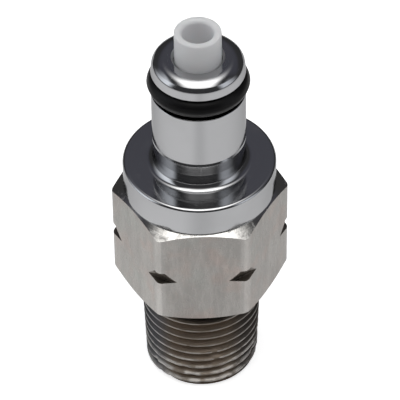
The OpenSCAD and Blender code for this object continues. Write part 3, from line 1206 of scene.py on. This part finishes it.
    def build(self, finishes: list[Material]) -> None:
        """Models the piece and dresses it.

        Args:
            finishes: Finishes of the flats, the chamfers, the thread with the bore, and the groove's painted
                shade.
        """
        piece = self.thread()
        Bench.combine(piece, self.envelope(), Cut.COMMON)
        Bench.combine(piece, self.head(), Cut.JOIN)
        Bench.combine(piece, self.passage(), Cut.AWAY)
        Bench.smooth(piece)
        self.sort_faces(piece)
        self.settle(piece, finishes)


@dataclass
class SealRing(Piece):
    """A moulded rubber ring, with the fine parting line round its outside."""

    node: str = "stem_seal_ring"
    body: str = "coupling_body"
    slot: Slot = Slot.RUBBER
    flash: float = 0.045
    steps: int = 40
    segments: int = 200

    def build(self, finish: Material) -> None:
        """Turns the ring and dresses it."""
        span = node_span(self.node)
        radius = (span.high - span.low) / 2
        middle_r, middle_z = span.r - radius, (span.high + span.low) / 2
        outline = []
        for k in range(self.steps):
            angle = FULL_TURN * k / self.steps
            r = radius - (0 if k == 0 else self.flash)
            outline.append((middle_r + r * math.cos(angle), middle_z + r * math.sin(angle)))
        piece = Bench.turned(self.node + "_new", outline, self.segments, ring=True)
        Bench.pick(piece)
        bpy.ops.object.shade_smooth()
        self.settle(piece, [finish])


@dataclass
class ValveTube(Piece):
    """The white valve: open tube, cross ports, seal groove, scalloped head and spring pin."""

    node: str = "valve_tube"
    body: str = "valve"
    slot: Slot = Slot.ACETAL
    tube_r: float = 1.89
    bore_r: float = 1.27
    seal_groove_r: float = 1.63
    ring_slack: float = 0.04
    head_t: float = 1.2
    pin_l: float = 1.6
    pin_r: float = 2.0
    port_r: float = 0.7
    port_wall: float = 0.25
    scallop_r: float = 0.8
    scallop_at: float = 3.0
    scallops: int = 4
    scallop_over: float = 0.2
    edge: float = 0.06
    rim_r: float = 0.15
    mouth_r: float = 0.3
    core_r: float = 0.4
    pin_edge: float = 0.12
    pin_fillet: float = 0.08
    groove_fillet: float = 0.05
    shoulder_edge: float = 0.04
    floor_fillet: float = 0.1
    segments: int = 160
    span: Span = field(default_factory=lambda: node_span("valve_tube"))
    seal: Span = field(default_factory=lambda: node_span("valve_seal_ring"))

    def build(self, finish: Material) -> None:
        """Turns the valve, drills its ports, cuts its scallops and dresses it."""
        groove_top = self.seal.high + self.ring_slack
        groove_foot = self.seal.low - self.ring_slack
        head_z = groove_foot - self.head_t
        port_z = groove_top + self.port_wall + self.port_r
        floor_z = port_z - self.port_r
        outline = softened([
            Corner(self.core_r, head_z - self.pin_l),
            Corner(self.pin_r, head_z - self.pin_l, self.pin_edge),
            Corner(self.pin_r, head_z, self.pin_fillet),
            Corner(self.span.r, head_z, self.edge),
            Corner(self.span.r, groove_foot, self.edge),
            Corner(self.seal_groove_r, groove_foot, self.groove_fillet),
            Corner(self.seal_groove_r, groove_top, self.groove_fillet),
            Corner(self.tube_r, groove_top, self.shoulder_edge),
            Corner(self.tube_r, self.span.high, self.rim_r),
            Corner(self.bore_r, self.span.high, self.mouth_r),
            Corner(self.bore_r, floor_z, self.floor_fillet),
            Corner(self.core_r, floor_z),
        ])
        piece = Bench.turned(self.node + "_new", outline, self.segments, ring=False)
        reach = 2 * (self.tube_r + OVER)
        for axis in ("X", "Y"):
            drill = Bench.rod(self.port_r, reach, Vector((0, 0, port_z)), (math.pi / 2, axis))
            Bench.combine(piece, drill, Cut.AWAY)
        for k in range(self.scallops):
            angle = FULL_TURN * (k + 0.5) / self.scallops
            middle = Vector((math.cos(angle), math.sin(angle), 0)) * self.scallop_at
            middle.z = head_z + self.head_t / 2
            Bench.combine(piece, Bench.rod(self.scallop_r, self.head_t + self.scallop_over, middle), Cut.AWAY)
        Bench.smooth(piece)
        self.settle(piece, [finish])


@dataclass
class ValveSpring(Piece):
    """The valve's compression spring, with closed end turns, which the valve squashes on its way in."""

    node: str = "valve_spring"
    body: str = "coupling_body"
    slot: Slot = Slot.SPRING
    wire_r: float = 0.25
    turns: int = 9
    end_share: float = 1.12
    steps: int = 40
    sides: int = 14
    joint: str = "valve_slide"
    travel: float = 2.5
    span: Span = field(default_factory=lambda: node_span("valve_spring"))

    def level(self, turn: float) -> float:
        """Height of the wire's middle after some turns: close end turns, open turns between."""
        end_pitch = 2 * self.wire_r * self.end_share
        length = self.span.high - self.span.low - 2 * self.wire_r
        open_pitch = (length - 2 * end_pitch) / (self.turns - 2)
        ends = min(turn, 1) + max(turn - self.turns + 1, 0)
        middle = max(min(turn, self.turns - 1) - 1, 0)
        return self.span.low + self.wire_r + end_pitch * ends + open_pitch * middle

    def build(self, finish: Material) -> None:
        """Sweeps the wire up its helix, closes its ends and dresses it.

        Args:
            finish: Finish of the wire.
        """
        sweep_rise = 4 * self.wire_r
        Bench.clear()
        bpy.ops.mesh.primitive_circle_add(vertices=self.sides, radius=self.wire_r)
        piece = bpy.context.object
        Bench.edit(piece)
        bpy.ops.transform.rotate(value=math.pi / 2, orient_axis="X", center_override=(0, 0, 0))
        bpy.ops.transform.translate(value=(self.span.r - self.wire_r, 0, 0))
        Bench.close()
        Bench.sweep(piece, sweep_rise, self.turns, self.steps)
        for index, vertex in enumerate(piece.data.vertices):
            turn = index // self.sides / self.steps
            vertex.co.z += self.level(turn) - sweep_rise * turn
        Bench.edit(piece)
        Bench.cap()
        Bench.close(outward=True)
        Bench.smooth(piece)
        self.settle(piece, [finish])
        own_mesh(piece)


@dataclass
class Studio:
    """Pale floor, dark surround with a soft overhead lamp and two side panels, and the camera."""

    floor_r: float = 0.7
    floor_sides: int = 96
    floor_tone: Colour = (0.9, 0.9, 0.9, 1)
    table_tone: Colour = (0.05, 0.05, 0.055, 1)
    sheet_r: float = 0.05
    table_r: float = 0.3
    seen_glow: float = 0.7
    mirrored_glow: float = 0.06
    side_glow: tuple[float, float] = (0.34, 0.24)
    side_reach: float = 0.014
    side_fade: Ramp = Ramp(0.017, 0.03, 1.0, 0.45)
    wall_tone: Colour = (0.05, 0.05, 0.052, 1)
    ceiling_tone: Colour = (0.08, 0.081, 0.099, 1)
    lamp_tone: Colour = (2.85, 2.83, 2.8, 1)
    lamp_width: float = 0.49
    lamp_depth: float = 0.5
    lamp_lean: float = 0.1
    lamp_squareness: float = 5.0
    lowest_up: float = 0.05
    ceiling_from: float = math.sin(math.radians(24))
    ceiling_to: float = math.sin(math.radians(38))
    ceiling_back: float = 0.4
    panel_top: float = math.sin(math.radians(51))
    panel_full: float = math.sin(math.radians(43))
    panels: tuple[Panel, ...] = (
        Panel(
            side=-1, near=math.radians(66), near_blur=math.radians(9), far=math.radians(104),
            far_blur=math.radians(26), tone=(1.15, 1.2, 1.27, 1),
        ),
        Panel(
            side=1, near=math.radians(51), near_blur=math.radians(9), far=math.radians(83),
            far_blur=math.radians(18), tone=(0.82, 0.85, 0.9, 1),
        ),
    )
    unit_mm: float = 0.08232
    reference_z: float = 19.13
    elevation: float = math.radians(43.703)
    distance: float = 3139.1
    shift_x: float = -0.02
    shift_up: float = 13.16
    turn: float = math.radians(1.368)
    roll: float = math.radians(0.8)
    image_px: float = 400.0
    sensor_mm: float = 36.0
    clip: tuple[float, float] = (0.01, 5)

    def floor(self) -> None:
        """Adds the floor: a pale disc that looks white and keeps the object's shadow."""
        Bench.clear()
        bpy.ops.mesh.primitive_circle_add(vertices=self.floor_sides, radius=self.floor_r, fill_type="NGON")
        floor = bpy.context.object
        floor.name = "studio_floor"
        material = bpy.data.materials.new("pale_floor")
        material.use_nodes = True
        tree = Tree(material.node_tree)
        path = tree.add("ShaderNodeLightPath")
        place = tree.add("ShaderNodeTexCoord").outputs["Object"]
        away = tree.add("ShaderNodeVectorMath", {0: place}, operation="LENGTH").outputs["Value"]
        off_sheet = tree.ramp(away, self.sheet_r, self.table_r)
        unseen = tree.math("SUBTRACT", 1.0, path.outputs["Is Camera Ray"])
        tone = tree.blend(tree.math("MULTIPLY", off_sheet, unseen), self.floor_tone, self.table_tone)
        seen = tree.math("MULTIPLY", path.outputs["Is Camera Ray"], self.seen_glow)
        aside = tree.add("ShaderNodeSeparateXYZ", {0: place}).outputs["X"]
        left = tree.ramp(aside, 0.0, -self.side_reach, 0.0, self.side_glow[0])
        right = tree.ramp(aside, 0.0, self.side_reach, 0.0, self.side_glow[1])
        fade = tree.ramp(away, *self.side_fade)
        sides = tree.math("MULTIPLY", tree.math("ADD", left, right), fade)
        glow = tree.math("ADD", sides, self.mirrored_glow)
        near = tree.math("MULTIPLY", tree.math("SUBTRACT", 1.0, off_sheet), glow)
        mirrored = tree.math("MULTIPLY", path.outputs["Is Glossy Ray"], near)
        paint = tree.add("ShaderNodeBsdfDiffuse", {"Color": tone})
        light = tree.add("ShaderNodeEmission", {"Strength": tree.math("ADD", seen, mirrored)})
        both = tree.add("ShaderNodeAddShader", {0: paint.outputs[0], 1: light.outputs[0]})
        tree.add("ShaderNodeOutputMaterial", {"Surface": both.outputs[0]})
        floor.data.materials.append(material)

    def overhead(self, tree: Tree, way: Node) -> Socket:
        """Brightness of the wide lamp overhead: sharp at its sides, soft to the front and the back.

        Args:
            tree: Tree of the surround.
            way: Node that splits the direction into its parts.

        Returns:
            Its share of the lamp's tone.
        """
        up = tree.math("MAXIMUM", way.outputs["Z"], self.lowest_up)
        aside = tree.math("DIVIDE", tree.math("DIVIDE", way.outputs["X"], up), self.lamp_width)
        lean = tree.math("ADD", tree.math("DIVIDE", way.outputs["Y"], up), self.lamp_lean)
        ahead = tree.math("DIVIDE", lean, self.lamp_depth)
        edge = tree.math("POWER", tree.math("ABSOLUTE", aside), self.lamp_squareness)
        off = tree.math("ADD", edge, tree.math("MULTIPLY", ahead, ahead))
        return tree.math("EXPONENT", tree.math("MULTIPLY", off, -1.0))

    def surround(self) -> None:
        """Dark walls, a slate ceiling behind, the lamp and the panels; the camera sees plain white."""
        world = bpy.data.worlds.new("studio")
        bpy.context.scene.world = world
        world.use_nodes = True
        tree = Tree(world.node_tree)
        way = tree.add("ShaderNodeSeparateXYZ", {0: tree.add("ShaderNodeTexCoord").outputs["Generated"]})
        up = way.outputs["Z"]
        high = tree.ramp(up, self.ceiling_from, self.ceiling_to)
        behind = tree.ramp(way.outputs["Y"], 0.0, self.ceiling_back)
        tone = tree.blend(tree.math("MULTIPLY", high, behind), self.wall_tone, self.ceiling_tone)
        azimuth = tree.math("ARCTAN2", way.outputs["X"], tree.math("MULTIPLY", way.outputs["Y"], -1.0))
        low = tree.ramp(up, self.panel_top, self.panel_full)
        for panel in self.panels:
            turn = tree.math("MULTIPLY", azimuth, float(panel.side))
            past = tree.ramp(turn, panel.near - panel.near_blur, panel.near + panel.near_blur)
            short = tree.ramp(turn, panel.far + panel.far_blur, panel.far - panel.far_blur)
            share = tree.math("MULTIPLY", tree.math("MULTIPLY", past, short), low)
            tone = tree.blend(share, tone, panel.tone)
        tone = tree.blend(self.overhead(tree, way), tone, self.lamp_tone)
        path = tree.add("ShaderNodeLightPath")
        seen = tree.blend(path.outputs["Is Camera Ray"], tone, (1, 1, 1, 1))
        light = tree.add("ShaderNodeBackground", {"Color": seen, "Strength": 1.0})
        tree.add("ShaderNodeOutputWorld", {"Surface": light.outputs[0]})

    def camera(self) -> None:
        """Sets the camera where the photograph was taken from, worked out from the fitted view."""
        data = bpy.data.cameras.new("camera")
        data.sensor_width = self.sensor_mm
        data.lens = self.distance / self.image_px * self.sensor_mm
        data.clip_start, data.clip_end = self.clip
        camera = bpy.data.objects.new("camera", data)
        bpy.context.scene.collection.objects.link(camera)
        bpy.context.scene.camera = camera
        ahead = Vector((0, math.cos(self.elevation), -math.sin(self.elevation)))
        up = Vector((0, math.sin(self.elevation), math.cos(self.elevation)))
        right = Vector((1, 0, 0))
        place = -self.distance * ahead - self.shift_x * right - self.shift_up * up
        place *= self.unit_mm * MM
        place.z += self.reference_z * MM
        aim = ahead.to_track_quat("-Z", "Y").to_matrix().to_4x4()
        around = Matrix.Rotation(-self.turn, 4, "Z")
        tilt = Matrix.Rotation(-self.roll, 4, "Z")
        camera.matrix_world = around @ Matrix.Translation(place) @ aim @ tilt

    def build(self) -> None:
        """Sets up the whole studio."""
        self.floor()
        self.surround()
        self.camera()
        view = bpy.context.scene.view_settings
        view.view_transform = "Standard"
        LOG.info("studio ready")


def main() -> None:
    """Builds the insert piece by piece, then the studio."""
    logging.basicConfig(level=logging.INFO, format="%(name)s %(message)s")
    effects = Effects()
    polished = PolishedPlate("polished_plate").build(effects)
    brushed = BrushedPlate("brushed_plate").build(effects)
    cut = TurnedCut("turned_cut").build(effects)
    # Painted shade: a dark copy of the cut for the hexagon's groove.
    stained = TurnedCut(
        "stained_cut", colour=(0.17, 0.15, 0.13, 1), dark=(0.02, 0.018, 0.015, 1), roughness=0.3, streak=0.9
    ).build(effects)
    thread = ThreadPlate("thread_plate").build(effects)
    rubber = SealRubber("seal_rubber").build(effects)
    acetal = Acetal("white_acetal").build(effects)
    wire = SpringWire("spring_steel").build(effects)
    StemBody().build(polished)
    HexAdapter().build([brushed, cut, thread, stained])
    SealRing().build(rubber)
    SealRing(node="valve_seal_ring", body="valve", segments=120).build(rubber)
    SealRing(node="joint_seal_ring", segments=120).build(rubber)
    ValveTube().build(acetal)
    ValveSpring().build(wire)
    Studio().build()


if __name__ == "__main__":
    main()
